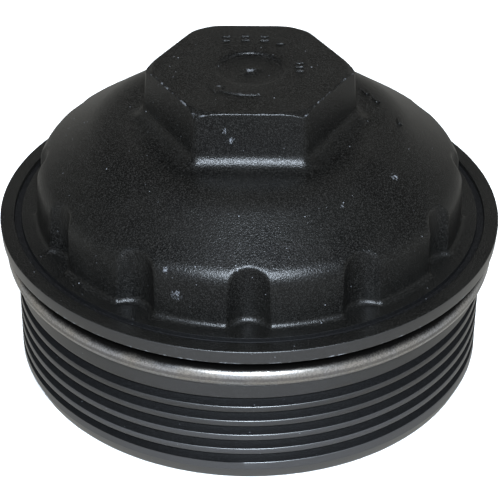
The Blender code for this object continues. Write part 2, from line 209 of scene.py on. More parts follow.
class Nodes:
    """The nodes of one material or of the world."""

    def __init__(self, owner):
        owner.use_nodes = True
        self.tree = owner.node_tree

    def feed(self, socket, value):
        if isinstance(value, Value):
            value = value.socket
        if isinstance(value, bpy.types.NodeSocket):
            self.tree.links.new(value, socket)
        else:
            socket.default_value = value

    def node(self, kind, settings=None, inputs=None):
        """Adds a node, gives it its settings, then the values or links of its sockets."""
        node = self.tree.nodes.new(kind)
        for name, value in (settings or {}).items():
            setattr(node, name, value)
        for name, value in (inputs or {}).items():
            self.feed(node.inputs[name], value)
        return node

    def ramp(self, value, low, high, start=0.0, end=1.0):
        """A smooth step of a number from start to end, as it goes from low to high."""
        node = self.node(
            "ShaderNodeMapRange",
            {"interpolation_type": "SMOOTHSTEP"},
            {"Value": value, "From Min": low, "From Max": high, "To Min": start, "To Max": end},
        )
        return Value(self, node.outputs["Result"])

    def mix(self, mask, first, second):
        """A colour that goes from the first to the second with the mask."""
        colours = [c if isinstance(c, bpy.types.NodeSocket) else (*c, 1.0) for c in (first, second)]
        # A Mix node's sockets for colours are numbers 6 and 7, and its colour comes out of number 2.
        inputs = {0: mask, 6: colours[0], 7: colours[1]}
        return self.node("ShaderNodeMix", {"data_type": "RGBA"}, inputs).outputs[2]


class Shader(Nodes):
    """One material and the nodes in it."""

    def __init__(self, name, base, roughness, metallic=0.0, **constants):
        self.material = bpy.data.materials.new(name)
        super().__init__(self.material)
        self.principled = self.tree.nodes["Principled BSDF"]
        self.set("Base Color", (*base, 1.0))
        self.set("Roughness", roughness)
        self.set("Metallic", metallic)
        for socket, value in constants.items():
            self.set(socket.replace("_", " "), value)

    def set(self, socket, value):
        self.feed(self.principled.inputs[socket], value)

    def place(self, stretch=(1, 1, 1)):
        """Coordinates in metres in the object's own frame, stretched."""
        source = self.node("ShaderNodeTexCoord").outputs["Object"]
        if stretch == (1, 1, 1):
            return source
        return self.node("ShaderNodeMapping", None, {"Vector": source, "Scale": stretch}).outputs[0]

    def noise(self, size, detail=2.0, stretch=(1, 1, 1), roughness=0.5):
        """Noise whose features are about this long, in metres."""
        inputs = {"Vector": self.place(stretch), "Scale": 1 / size, "Detail": detail, "Roughness": roughness}
        return Value(self, self.node("ShaderNodeTexNoise", None, inputs).outputs["Fac"])

    def cells(self, size):
        """Distance from the nearest of many scattered points, this far apart in metres."""
        node = self.node("ShaderNodeTexVoronoi", None, {"Vector": self.place(), "Scale": 1 / size})
        return Value(self, node.outputs["Distance"])

    def axis(self, name):
        node = self.node("ShaderNodeSeparateXYZ", None, {"Vector": self.place()})
        return Value(self, node.outputs[name])

    def ball(self, centre, radius):
        """1 inside a ball about this point, falling to 0 at its radius."""
        node = self.node("ShaderNodeVectorMath", {"operation": "DISTANCE"}, {0: self.place(), 1: centre})
        return self.ramp(Value(self, node.outputs["Value"]), radius * 0.2, radius * 1.25, 1.0, 0.0)

    def attribute(self, name):
        node = self.node("ShaderNodeAttribute", {"attribute_name": name})
        return Value(self, node.outputs["Fac"])

    def bump(self, height, distance, strength=1.0):
        inputs = {"Height": height, "Distance": distance, "Strength": strength}
        self.set("Normal", self.node("ShaderNodeBump", None, inputs).outputs["Normal"])


# Centres and radii of the rubbed patches, in millimetres.
SCUFFS = (
    ((-13.7, -34.9, 38.7), 1.5),
    ((-11.9, -36.1, 34.6), 2.0),
    ((24.9, -15.5, 45.3), 1.5),
    ((15.6, -25.0, 45.2), 0.8),
    ((-4.4, -16.3, 54.3), 1.1),
    ((-3.2, -16.3, 52.6), 1.3),
    ((-9.2, -15.9, 57.0), 1.6),
)


def rubbed_parts(shader, edge_from=0.84):
    """Where the nylon is pale: worn edges, scuffs and specks of dust."""
    streak = shader.noise(1.3 * MM, 5.0, roughness=0.7)
    wear = shader.attribute("edge_wear")
    rubbed = shader.ramp(wear * 0.62 + streak * 0.75, edge_from, edge_from + 0.24)
    rubbed = rubbed * shader.ramp(wear, 0.05, 0.4)
    speck = shader.cells(1.45 * MM)
    rarity = shader.noise(2.3 * MM, 1.0)
    dusty = shader.ramp(speck + (0.60 - rarity) * 0.25, 0.03, 0.07, 1.0, 0.0)
    scratch = shader.noise(0.42 * MM, 4.0, (1, 1, 0.6), roughness=0.85)
    scuffs = None
    for centre, radius in SCUFFS:
        spot = shader.ball([value * MM for value in centre], radius * MM)
        scuffs = spot if scuffs is None else scuffs.highest(spot)
    scuffed = shader.ramp(scuffs * 0.32 + scratch, 0.80, 0.96)
    return rubbed.highest(dusty * 0.8).highest(scuffed * 0.65)


def grained_nylon_finish(look):
    """Near-black glass-filled nylon with a spark-eroded grain that sparkles."""
    shader = Shader("grained_nylon", look.nylon, 0.38, Specular_IOR_Level=0.24)
    grain = shader.noise(0.25 * MM, 2.0, roughness=0.75)
    fine = shader.noise(0.15 * MM, 1.0)
    pits = shader.cells(0.30 * MM)
    cloud = shader.noise(11 * MM, 4.0)
    pale = rubbed_parts(shader)
    fibre = shader.ramp(grain * 0.7 + fine * 0.3, 0.46, 0.66)
    toned = shader.mix(fibre, (0.0012, 0.0012, 0.0011), (0.0145, 0.0140, 0.0130))
    toned = shader.mix(shader.ramp(cloud, 0.35, 0.7) * 0.3, toned, (0.0085, 0.0082, 0.0072))
    shader.set("Base Color", shader.mix(pale, toned, look.nylon_worn))
    shader.set("Roughness", grain * 0.22 + cloud * 0.06 + 0.18 + pale * 0.1)
    shader.bump(grain + fine * 0.4 + pits * 0.5, 0.06 * MM, 0.8)
    return shader.material


def smooth_nylon_finish(look):
    """The same nylon where the mould was polished: a paler, more even sheen."""
    gloss = {"Specular_IOR_Level": 0.7, "Coat_Weight": 1.0, "Coat_IOR": 1.5, "Coat_Roughness": 0.38}
    shader = Shader("smooth_nylon", look.nylon, 0.36, **gloss)
    fine = shader.noise(0.22 * MM, 3.0, (1, 1, 0.6), roughness=0.6)
    cloud = shader.noise(8 * MM, 4.0)
    pale = rubbed_parts(shader, 0.86)
    toned = shader.mix(cloud, (0.0030, 0.0031, 0.0034), (0.0060, 0.0060, 0.0064))
    toned = shader.mix(shader.ramp(fine, 0.45, 0.75), toned, (0.014, 0.014, 0.0145))
    # The lower crests and the collar are paler, fading out from 7 mm to 15 mm up.
    paler_low = shader.ramp(shader.axis("Z"), 7 * MM, 15 * MM, 0.85, 0.0)
    toned = shader.mix(paler_low, toned, (0.021, 0.021, 0.0225))
    shader.set("Base Color", shader.mix(pale, toned, look.nylon_worn))
    shader.set("Roughness", fine * 0.14 + cloud * 0.12 + 0.24 + pale * 0.1)
    shader.bump(fine, 0.03 * MM, 0.4)
    return shader.material


def nylon_with_painted_shade_finish(look):
    """Darker, matt nylon in the thread's flanks and roots and in the flange's channel: painted shade in these
    hollows.
    """
    shader = Shader("nylon_with_painted_shade", look.nylon, 0.55, Specular_IOR_Level=0.12)
    fine = shader.noise(0.24 * MM, 2.0, roughness=0.7)
    cloud = shader.noise(4 * MM, 3.0)
    pale = rubbed_parts(shader, 0.9)
    toned = shader.mix(shader.ramp(fine, 0.42, 0.7), (0.002, 0.002, 0.0022), (0.008, 0.008, 0.0085))
    toned = shader.mix(cloud * 0.4, toned, (0.0035, 0.0034, 0.0032))
    shader.set("Base Color", shader.mix(pale * 0.6, toned, look.nylon_worn))
    shader.set("Roughness", fine * 0.2 + cloud * 0.1 + 0.42)
    shader.bump(fine, 0.03 * MM, 0.5)
    return shader.material


def seal_finish(look):
    """Rubber with a satin, slightly bronze film of oil on its outer flank; above it the rubber is painted
    near black as the shade under the flange.
    """
    shader = Shader("oiled_seal_rubber", look.seal, 0.3, 0.9, Coat_IOR=1.5, Coat_Roughness=0.2)
    film = shader.noise(6 * MM, 3.0, (1, 1, 0.4))
    fine = shader.noise(0.30 * MM, 3.0, roughness=0.7)
    middle = (SEAL_BOTTOM + SEAL_TOP) / 2
    level = shader.axis("Z") + (film - 0.5) * (0.7 * MM) + (fine - 0.5) * (0.5 * MM)
    # The ring's top is painted near black, with no coat: painted shade under the flange.
    oiled_and_unshaded = shader.ramp(level, middle + 0.65 * MM, middle + 1.6 * MM, 1.0, 0.0)
    toned = shader.mix(shader.ramp(film, 0.35, 0.65), look.seal, (0.41, 0.405, 0.41))
    toned = shader.mix(shader.ramp(fine, 0.35, 0.7) * 0.8, toned, (0.18, 0.165, 0.15))
    # Darker along the moulding line.
    seam = shader.ramp(abs(shader.axis("Z") - middle), 0.15 * MM, 0.5 * MM, 1.0, 0.0)
    toned = shader.mix(seam * (film * 0.5 + 0.35), toned, (0.09, 0.083, 0.078))
    # The near-black colour is the painted shade on the ring's top.
    shader.set("Base Color", shader.mix(oiled_and_unshaded, (0.012, 0.011, 0.010), toned))
    shader.set("Coat Weight", oiled_and_unshaded)
    shader.set("Roughness", film * 0.10 + fine * 0.16 + 0.18)
    shader.bump(fine, 0.02 * MM, 0.6)
    return shader.material


def paper_finish(look):
    """Resin-soaked paper with its fibres and the rows of embossed spacers."""
    shader = Shader("filter_paper", look.paper, 0.8, Specular_IOR_Level=0.25)
    fibre = shader.noise(0.5 * MM, 5.0, (1, 1, 0.35), roughness=0.7)
    cloud = shader.noise(7 * MM, 3.0)
    spacer = abs((shader.axis("Z") / (4.2 * MM)).fraction() - 0.5)
    ridge = shader.ramp(spacer, 0.08, 0.2, 1.0, 0.0)
    mottled = shader.mix(cloud * 0.8, look.paper, (0.46, 0.28, 0.10))
    shader.set("Base Color", shader.mix(fibre * 0.5, mottled, (0.72, 0.52, 0.26)))
    shader.set("Roughness", fibre * 0.2 + 0.68)
    shader.bump(fibre * 0.4 + ridge, 0.12 * MM, 0.6)
    return shader.material


def plastisol_finish(look):
    """Cured potting, glossy and a little cloudy."""
    shader = Shader("plastisol", look.plastisol, 0.4)
    cloud = shader.noise(4 * MM, 3.0)
    shader.set("Base Color", shader.mix(cloud, look.plastisol, (0.30, 0.04, 0.02)))
    shader.set("Roughness", cloud * 0.2 + 0.32)
    shader.bump(cloud, 0.2 * MM, 0.4)
    return shader.material


# The simple finishes: name, roughness and metallic, then size, detail and stretch of the fine noise, the
# same and contrast of the clouds, the clouds' colour and share, the share of each in the roughness with
# what they add to, and the depth and strength of the bump.
SIMPLE_FINISHES = {
    # Matt black moulded rubber.
    "rubber": (
        ("matt_seal_rubber", 0.6, 0.0), (0.4, 3.0, (1, 1, 1)), (5, 3.0, 0.5),
        ((0.035, 0.035, 0.036), 0.6), (0.1, 0.15, 0.45), (0.02, 0.3),
    ),
    # Pressed and tinned sheet with a faint rolled grain and dull spots.
    "steel": (
        ("tinned_sheet", 0.33, 1.0), (0.35, 3.0, (1, 0.06, 1)), (5, 4.0, 0.6),
        ((0.42, 0.43, 0.46), 0.7), (0.12, 0.22, 0.16), (0.01, 0.25),
    ),
    # Drawn and hardened wire or strip, darker and oily.
    "spring_steel": (
        ("spring_steel", 0.28, 1.0), (0.3, 3.0, (1, 1, 0.3)), (3, 3.0, 0.5),
        ((0.22, 0.22, 0.25), 1.0), (0.15, 0.12, 0.14), (0.01, 0.3),
    ),
    # Turned brass with fine tool rings.
    "brass": (
        ("turned_brass", 0.25, 1.0), (0.25, 2.0, (0.1, 0.1, 1)), (3, 3.0, 0.5),
        ((0.52, 0.33, 0.12), 0.8), (0.15, 0.12, 0.12), (0.01, 0.3),
    ),
}  # fmt: skip


def simple_finish(look, kind):
    """A colour that clouds over into a second one, under a fine grain."""
    (name, roughness, metallic), grain, cloudiness, (second, share), gloss, relief = SIMPLE_FINISHES[kind]
    first = getattr(look, kind)
    shader = Shader(name, first, roughness, metallic)
    fine = shader.noise(grain[0] * MM, *grain[1:])
    cloud = shader.noise(cloudiness[0] * MM, cloudiness[1], roughness=cloudiness[2])
    shader.set("Base Color", shader.mix(cloud * share, first, second))
    shader.set("Roughness", fine * gloss[0] + cloud * gloss[1] + gloss[2])
    shader.bump(fine, relief[0] * MM, relief[1])
    return shader.material


def floor_finish(stage):
    """Plain pale paper."""
    return Shader("pale_floor", stage.floor, 0.6, Specular_IOR_Level=0.2).material


FINISH_MAKERS = {
    "grained_nylon": grained_nylon_finish,
    "smooth_nylon": smooth_nylon_finish,
    "nylon_with_painted_shade": nylon_with_painted_shade_finish,
    "seal": seal_finish,
    "paper": paper_finish,
    "plastisol": plastisol_finish,
}
_made = {}


def finish(name):
    """The material of this finish, made the first time that it is asked for."""
    if name not in _made:
        look = bpy.context.scene.filter_finishes
        _made[name] = simple_finish(look, name) if name in SIMPLE_FINISHES else FINISH_MAKERS[name](look)
    return _made[name]


# ---------------------------------------------------------------- mesh tools


def around(radius, angle, height=0.0):
    return Vector((radius * math.cos(angle), radius * math.sin(angle), height))


def rounded(corners, is_closed=False, arc_step=math.radians(30)):
    """The outline through (radius, height, fillet) corners, with an arc at each that has a fillet."""
    outline = []
    count = len(corners)
    for index, (x, y, fillet) in enumerate(corners):
        is_end = not is_closed and index in (0, count - 1)
        if is_end or fillet == 0:
            outline.append((x, y))
            continue
        before = corners[index - 1]
        after = corners[(index + 1) % count]
        towards = math.atan2(before[1] - y, before[0] - x)
        away = math.atan2(after[1] - y, after[0] - x)
        turn = (away - towards + math.pi) % TURN - math.pi
        half = abs(turn) / 2
        middle = towards + turn / 2
        reach = fillet / math.sin(half)
        centre_x = x + reach * math.cos(middle)
        centre_y = y + reach * math.sin(middle)
        sweep = math.pi - 2 * half
        pieces = max(2, math.ceil(sweep / arc_step))
        for step in range(pieces + 1):
            angle = middle + math.pi + (step / pieces - 0.5) * sweep * (1 if turn < 0 else -1)
            outline.append((centre_x + fillet * math.cos(angle), centre_y + fillet * math.sin(angle)))
    return outline


def divided(outline, longest):
    """The outline with its long stretches cut into pieces no longer than this."""
    finer = [outline[0]]
    for (x, y), end in zip(outline, outline[1:]):
        count = max(1, math.ceil(math.dist((x, y), end) / longest))
        for step in range(1, count + 1):
            share = step / count
            finer.append((x + (end[0] - x) * share, y + (end[1] - y) * share))
    return finer


def mesh_from(bm, name):
    mesh = bpy.data.meshes.new(name)
    bm.to_mesh(mesh)
    bm.free()
    return mesh


def linked(name, data):
    """Makes an object of this mesh, lamp or camera and puts it in the scene."""
    obj = bpy.data.objects.new(name, data)
    bpy.context.scene.collection.objects.link(obj)
    return obj


def piece_from(bm, name, body, node, materials, sharp=40, is_extra=False):
    """Turns the bmesh into a piece that rides on its body. Unless it is an extra, it stands for the node and
    hides it."""
    bmesh.ops.recalc_face_normals(bm, faces=bm.faces)
    mesh = mesh_from(bm, name)
    for material in materials if isinstance(materials, list) else [materials]:
        mesh.materials.append(material)
    mesh.shade_smooth()
    mesh.set_sharp_from_angle(angle=math.radians(sharp))
    obj = linked(name, mesh)
    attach(obj, body)
    if not is_extra:
        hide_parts(node)
    return obj


def skin(bm, rings, is_round=False):
    """Joins rings of as many points each. A row of rings that isn't round gets a cap at each end."""
    for ring, following in zip(rings, rings[1:] + rings[:1] if is_round else rings[1:]):
        for side, point in enumerate(ring):
            other = (side + 1) % len(ring)
            bm.faces.new((point, following[side], following[other], ring[other]))
    if not is_round:
        bm.faces.new(rings[0])
        bm.faces.new(reversed(rings[-1]))


def turned_mesh(outline, steps=96, sweep=TURN, start=0.0):
    """A closed outline of (radius, height) points in metres, turned about Z."""
    bm = bmesh.new()
    is_whole = sweep == TURN
    rings = []
    for index in range(steps if is_whole else steps + 1):
        angle = start + sweep * index / steps
        rings.append([bm.verts.new(around(radius, angle, height)) for radius, height in outline])
    skin(bm, rings, is_whole)
    bmesh.ops.remove_doubles(bm, verts=bm.verts, dist=1e-7)
    return bm


def cut(obj, cutters):
    """Cuts these meshes out of the piece, one after another."""
    for bm in cutters:
        bmesh.ops.recalc_face_normals(bm, faces=bm.faces)
        mesh = mesh_from(bm, "cutter")
        tool = linked("cutter", mesh)
        boolean = obj.modifiers.new("cut", "BOOLEAN")
        boolean.operation = "DIFFERENCE"
        boolean.object = tool
        bpy.context.view_layer.update()
        graph = bpy.context.evaluated_depsgraph_get()
        result = bpy.data.meshes.new_from_object(obj.evaluated_get(graph))
        obj.modifiers.clear()
        old = obj.data
        obj.data = result
        bpy.data.meshes.remove(old)
        bpy.data.objects.remove(tool)
        bpy.data.meshes.remove(mesh)
    obj.data.shade_smooth()
    obj.data.set_sharp_from_angle(angle=math.radians(35))


def box_cutter(size, centre, angle):
    bm = bmesh.new()
    place = Matrix.Translation(centre) @ Matrix.Diagonal((*size, 1))
    bmesh.ops.create_cube(bm, size=1, matrix=Matrix.Rotation(angle, 4, "Z") @ place)
    return bm


def rod_cutter(radius, depth, centre, angle):
    bm = bmesh.new()
    place = Matrix.Rotation(angle, 4, "Z") @ Matrix.Translation(centre)
    ends = {"radius1": radius, "radius2": radius, "depth": depth}
    bmesh.ops.create_cone(bm, cap_ends=True, segments=32, matrix=place, **ends)
    return bm


# ---------------------------------------------------------------- the cover


def quarter_arc(radius, degrees):
    """How far a point of a quarter arc is from its corner's two sides: out first, then up."""
    turn = math.radians(degrees)
    return radius * (1 - math.cos(turn)), radius * (1 - math.sin(turn))


class CoverMesh:
    """The moulded cover as one closed skin: rings of points from the hexagon's middle down the
    outside, round the rim and up the inside. Every ring has a point on the same columns."""

    # Angles from a flute's middle to the middle of the next rib, in degrees, closest at the edges.
    HALF_SECTOR = (0, 0.6, 1.2, 1.9, 2.7, 3.5, 4.3, 4.85, 5.2, 5.5, 5.9, 6.7, 8.2, 10.4, 12.7, 15)
    BEVEL_SLOPE = math.tan(math.radians(30))
    DOME_START = 22.2 * MM
    # How wide the edge of a flute is eased.
    FLUTE_EASE = 0.55 * MM
    CHANNEL = (41.0 * MM, 42.35 * MM)
    GRAINED, SMOOTH, DULL = range(3)
    # The rows of one pitch that make the polished crest. The flanks and the root are matt, and darker with
    # painted shade.
    CREST_ROWS = range(3, 7)

    def __init__(self, sizes):
        self.sizes = sizes
        self.bm = bmesh.new()
        self.wear = self.bm.verts.layers.float.new("edge_wear")
        sector = 360 / sizes.flutes
        offsets = list(self.HALF_SECTOR[:-1]) + [sector - a for a in self.HALF_SECTOR[:0:-1]]
        self.angles = [
            math.radians(sector * index + offset)
            for index in range(sizes.flutes)
            for offset in offsets
        ]
        self.rings = []
        self.finish_index = self.GRAINED

    def ring(self, radii, heights, wear=0.0):
        """Adds a ring. Radii, heights and wear are numbers, or functions of the column's angle."""
        points = []
        for angle in self.angles:
            radius = radii(angle) if callable(radii) else radii
            height = heights(angle) if callable(heights) else heights
            point = self.bm.verts.new(around(radius, angle, height))
            point[self.wear] = wear(angle) if callable(wear) else wear
            points.append(point)
        if self.rings:
            self.join(self.rings[-1], points)
        self.rings.append(points)

    def join(self, upper, lower):
        count = len(self.angles)
        for index in range(count):
            after = (index + 1) % count
            face = self.bm.faces.new((upper[index], lower[index], lower[after], upper[after]))
            face.material_index = self.finish_index

    def cap(self, ring, height):
        """Closes a ring with a fan to one point on the axis."""
        middle = self.bm.verts.new((0, 0, height))
        for index, point in enumerate(ring):
            self.bm.faces.new((middle, point, ring[(index + 1) % len(ring)]))

    # The hexagon

    def from_corner(self, angle):
        """How far an angle is from the nearest corner of the hexagon."""
        return abs((angle + SIXTH / 2) % SIXTH - SIXTH / 2)

    def hexagon_radius(self, angle, lean=0.0):
        """Distance from the axis to the hexagon's side, lean from 0 at its top to 1 at its base."""
        half = self.sizes.across_flats / 2 + self.sizes.draft * lean
        corner = self.sizes.corner
        away = self.from_corner(angle)
        flat_end = math.atan((half - corner) * math.tan(SIXTH / 2) / half)
        if SIXTH / 2 - away < flat_end:
            return half / math.cos(SIXTH / 2 - away)
        # The corner's arc has its centre on the line to the corner and touches both flats.
        centre = (half - corner) / math.cos(SIXTH / 2)
        return centre * math.cos(away) + math.sqrt(corner**2 - (centre * math.sin(away)) ** 2)

    def hexagon(self):
        sizes = self.sizes
        top = COVER_TOP - sizes.mark_height
        edge = sizes.edge
        # The torn gate in the middle, then the dimple's floor and its steep side.
        gate = ((0.3, -0.14), (0.55, -0.18), (0.72, -0.3), (0.95, -0.34), (1.15, -0.5))
        floor = ((2.6, -0.56), (4.4, -0.54), (5.45, -0.50))
        side = ((5.72, -0.42), (5.86, -0.24), (5.98, -0.10), (6.12, -0.02), (6.35, 0.0))

        def torn(angle):
            return 1.05 + 0.2 * math.sin(3 * angle + 1) + 0.12 * math.sin(5 * angle)

        for radius, drop in gate:
            self.ring(
                lambda a, r=radius: r * MM * torn(a),
                lambda a, d=drop: top + (d + 0.05 * math.sin(2 * a)) * MM,
                0.85 if radius < 0.8 else 0.0,
            )
        for radius, drop in floor + side:
            self.ring(radius * MM, top + drop * MM)
        self.cap(self.rings[0], top - 0.12 * MM)
        flat = 6.6 * MM
        for share in (0.25, 0.55, 0.8, 0.96):
            self.ring(lambda a, s=share: flat + s * (self.top_edge(a) - flat), top)
        self.ring(self.top_edge, top, 0.55)
        for share in (0.1, 0.5, 0.93, 1.0):
            self.ring(
                lambda a, s=share: self.top_edge(a) + s * self.bevel(a),
                lambda a, s=share: top - s * self.bevel(a) * self.BEVEL_SLOPE,
                {0.1: 0.3, 1.0: 0.7}.get(share, 0.1),
            )
        for turn in (22.5, 45, 67.5, 90):
            out, down = quarter_arc(edge, 90 - turn)
            self.ring(
                lambda a, out=out: self.hexagon_radius(a) - out,
                lambda a, down=down: self.corner_height(a) - down,
                0.76 if turn < 80 else 0.3,
            )
        fillet = sizes.base_fillet
        for share in (0.05, 0.3, 0.6, 0.85, 1.0):
            self.ring(
                lambda a, s=share: self.hexagon_radius(a, s),
                lambda a, s=share: (1 - s) * (self.corner_height(a) - edge)
                + s * (sizes.crown + fillet),
                self.corner_wear,
            )
        for turn in range(10, 91, 10):
            out, up = quarter_arc(fillet, turn)
            self.ring(lambda a, out=out: self.hexagon_radius(a, 1) + out, sizes.crown + up)
        for share in (0.3, 0.7, 1.0):
            self.ring(
                lambda a, s=share: (1 - s) * (self.hexagon_radius(a, 1) + fillet)
                + s * self.DOME_START,
                sizes.crown,
            )

    def top_edge(self, angle):
        """Where the flat top ends: at the flats, or at the circle of the corner bevel, eased together."""
        flat = self.hexagon_radius(angle) - self.sizes.edge
        circle = self.sizes.chamfer_circle
        blend = 0.6 * MM
        near = max(blend - abs(flat - circle), 0) / blend
        return min(flat, circle) - near**2 * blend / 4

    def bevel(self, angle):
        """How far the corner bevel reaches past the flat top."""
        return self.hexagon_radius(angle) - self.sizes.edge - self.top_edge(angle)

    def corner_height(self, angle):
        return COVER_TOP - self.sizes.mark_height - self.bevel(angle) * self.BEVEL_SLOPE

    def corner_wear(self, angle):
        return max(0.0, 0.42 - self.from_corner(angle) / math.radians(4))

    # The dome and the grip band

    def flute(self, angle):
        """Distance from the axis to the wall of the nearest flute."""
        sector = TURN / self.sizes.flutes
        away = abs((angle + sector / 2) % sector - sector / 2)
        radius = self.sizes.flute_radius
        centre = self.sizes.flute_floor + radius
        # Past its tangent the wall goes on outwards.
        limit = math.asin(radius / centre) * 0.97
        inside = min(away, limit)
        wall = centre * math.cos(inside) - math.sqrt(radius**2 - (centre * math.sin(inside)) ** 2)
        return wall + (away - inside) * 0.6

    def nearness(self, radius, angle):
        """1 where a turned radius crosses the flute's wall, falling to 0 at the end of the eased edge."""
        return max(self.FLUTE_EASE - abs(radius - self.flute(angle)), 0) / self.FLUTE_EASE

    def fluted(self, radius):
        """A radius function: the turned radius or the flute, whichever is less, eased together."""

        def at(angle):
            eased = self.nearness(radius, angle) ** 2 * self.FLUTE_EASE / 4
            return min(radius, self.flute(angle)) - eased

        return at

    def crown_edge(self):
        return self.sizes.band_radius - DOME_RUN

    def dome_outline(self):
        sizes = self.sizes
        shoulder = sizes.crown - DOME_SLOPE * (sizes.band_radius - self.crown_edge())
        corners = [
            (self.DOME_START, sizes.crown, 0),
            (self.crown_edge(), sizes.crown, DOME_BEND),
            (sizes.band_radius, shoulder, sizes.shoulder_fillet),
            (sizes.band_base, sizes.flange_top + 1.2 * MM, 0),
        ]
        return rounded(corners, arc_step=math.radians(7))

    def dome_and_band(self):
        sizes = self.sizes
        outline = self.dome_outline()
        # Rows lie closest where the flutes cut into the dome.
        flute_top = sizes.flute_floor - 0.6 * MM
        close, wide, on_wall = 0.17 * MM, 1.6 * MM, 1.0 * MM
        points = []
        for start, end in zip(outline, outline[1:]):
            if start[0] < flute_top < end[0]:
                share = (flute_top - start[0]) / (end[0] - start[0])
                middle = (flute_top, start[1] + share * (end[1] - start[1]))
                points += divided([start, middle], wide)[1:]
                points += divided([middle, end], close)[1:]
            else:
                longest = on_wall if start[0] > sizes.band_radius - 0.1 * MM else wide
                points += divided([start, end], longest)[1:]
        for radius, height in points:
            self.ring(self.fluted(radius), height, lambda a, r=radius: 0.5 * self.nearness(r, a))
        fillet = 1.2 * MM
        wall = self.fluted(sizes.band_base)
        for turn in (15, 30, 45, 60, 75, 90):
            out, up = quarter_arc(fillet, turn)
            self.ring(lambda a, out=out: wall(a) + out, sizes.flange_top + up)
        flat_end = self.CHANNEL[0] - 0.1 * MM
        for share in (0.35, 0.75):
            self.ring(lambda a, s=share: (1 - s) * (wall(a) + fillet) + s * flat_end, sizes.flange_top)

    # The flange, the seal groove, the thread and the inside

    def turned(self, outline, wear, finish_index):
        self.finish_index = finish_index
        for radius, height in outline:
            self.ring(radius, height, wear(radius, height))

    def flange(self):
        sizes = self.sizes
        top = sizes.flange_top
        under = sizes.flange_under
        rim = COVER_RADIUS
        start, end = self.CHANNEL
        floor = top - 0.8 * MM
        ceiling = 25.2 * MM
        lip = 41.3 * MM
        seal_seat = SEAL_RADIUS - (SEAL_TOP - SEAL_BOTTOM) - 0.3 * MM
        corners = [
            (start - 0.1 * MM, top, 0),
            (start, top, 0.06 * MM),
            (start + 0.05 * MM, floor, 0.12 * MM),
            (end - 0.05 * MM, floor, 0.12 * MM),
            (end, top, 0.06 * MM),
            (rim, top, 0.22 * MM),
            (rim - 0.2 * MM, under, 0.22 * MM),
            (lip, under, 0.4 * MM),
            (lip, ceiling, 0.25 * MM),
            (seal_seat, ceiling, 0.4 * MM),
            (seal_seat, sizes.land_top, 0.4 * MM),
            (sizes.thread_radius, sizes.land_top, 0.12 * MM),
            (sizes.thread_radius, sizes.land_bottom, 0),
        ]
        outline = divided(rounded(corners, arc_step=math.radians(22.5)), 0.9 * MM)

        def wear(radius, height):
            """The flange's lower edge is rubbed most, and its upper edge less."""
            if radius < rim - 0.5 * MM:
                return 0.0
            return {0: 0.84, 2: 0.5}.get(round(2 * (height - under) / (top - under)), 0.1)

        def first(is_there):
            return next(index for index, point in enumerate(outline) if is_there(*point))

        sunk = first(lambda radius, height: height < top - 0.03 * MM)
        risen = first(lambda radius, height: radius > end - 0.05 * MM)
        outer = first(lambda radius, height: radius > rim - 0.1 * MM) + 1
        self.turned(outline[:sunk], wear, self.GRAINED)
        # The channel takes the darker nylon: painted shade in its hollow.
        self.turned(outline[sunk:risen], wear, self.DULL)
        self.turned(outline[risen:outer], wear, self.GRAINED)
        self.turned(outline[outer:], wear, self.SMOOTH)

    def thread_outline(self):
        """One pitch of the thread: offsets from the crest's middle, and radii."""
        sizes = self.sizes
        crest = sizes.thread_radius
        root = crest - sizes.thread_depth
        half = (
            (0.0, crest, 0.0),
            (0.48, crest, 0.12),
            (0.55, crest - 0.05 * MM, 0.32),
            (0.59, crest - 0.15 * MM, 0.2),
            (1.12, root + 0.18 * MM, 0.0),
            (1.24, root + 0.03 * MM, 0.0),
        )
        scale = sizes.pitch / 3.0
        below = [(-offset * scale, radius, wear) for offset, radius, wear in half[:0:-1]]
        above = [(offset * scale, radius, wear) for offset, radius, wear in half]
        return below + above

    def thread(self):
        """The rows of the thread climb with its helix, and end on the collar and on the land."""
        sizes = self.sizes
        outline = self.thread_outline()
        per_pitch = len(outline)
        low = sizes.collar_top
        high = sizes.land_bottom
        count = len(self.angles)
        upper = self.rings[-1]
        crest = sizes.thread_radius
        lower = [self.bm.verts.new(around(crest, angle, low)) for angle in self.angles]
        for point in lower:
            point[self.wear] = 0.35
        front = math.radians(270)
        start = sizes.front_crest - sizes.pitch * front / TURN
        first = math.floor((low - start) / sizes.pitch) - 1
        last = math.ceil((high - start) / sizes.pitch) + 1
        runout = sizes.thread_depth / (0.5 * MM)
        made = {}

        def point_at(column, row):
            if column == count:
                return point_at(0, row + per_pitch)
            if (column, row) not in made:
                offset, radius, wear = outline[row % per_pitch]
                angle = self.angles[column]
                turn = row // per_pitch + angle / TURN
                height = start + sizes.pitch * turn + offset
                if height < low + 0.02 * MM:
                    made[column, row] = lower[column]
                elif height > high - 0.02 * MM:
                    made[column, row] = upper[column]
                else:
                    run = crest - min(height - low, high - height) * runout
                    radius = max(radius, run)
                    point = self.bm.verts.new(around(radius, angle, height))
                    point[self.wear] = wear
                    made[column, row] = point
            return made[column, row]

        for row in range(first * per_pitch, last * per_pitch):
            # The flanks and the root take the darker nylon: painted shade in the thread's groove.
            index = self.SMOOTH if row % per_pitch in self.CREST_ROWS else self.DULL
            for column in range(count):
                corners = []
                for across, up in ((0, 0), (1, 0), (1, 1), (0, 1)):
                    point = point_at(column + across, row + up)
                    if point not in corners:
                        corners.append(point)
                if len(corners) > 2 and self.bm.faces.get(corners) is None:
                    self.bm.faces.new(corners).material_index = index
        self.rings.append(lower)

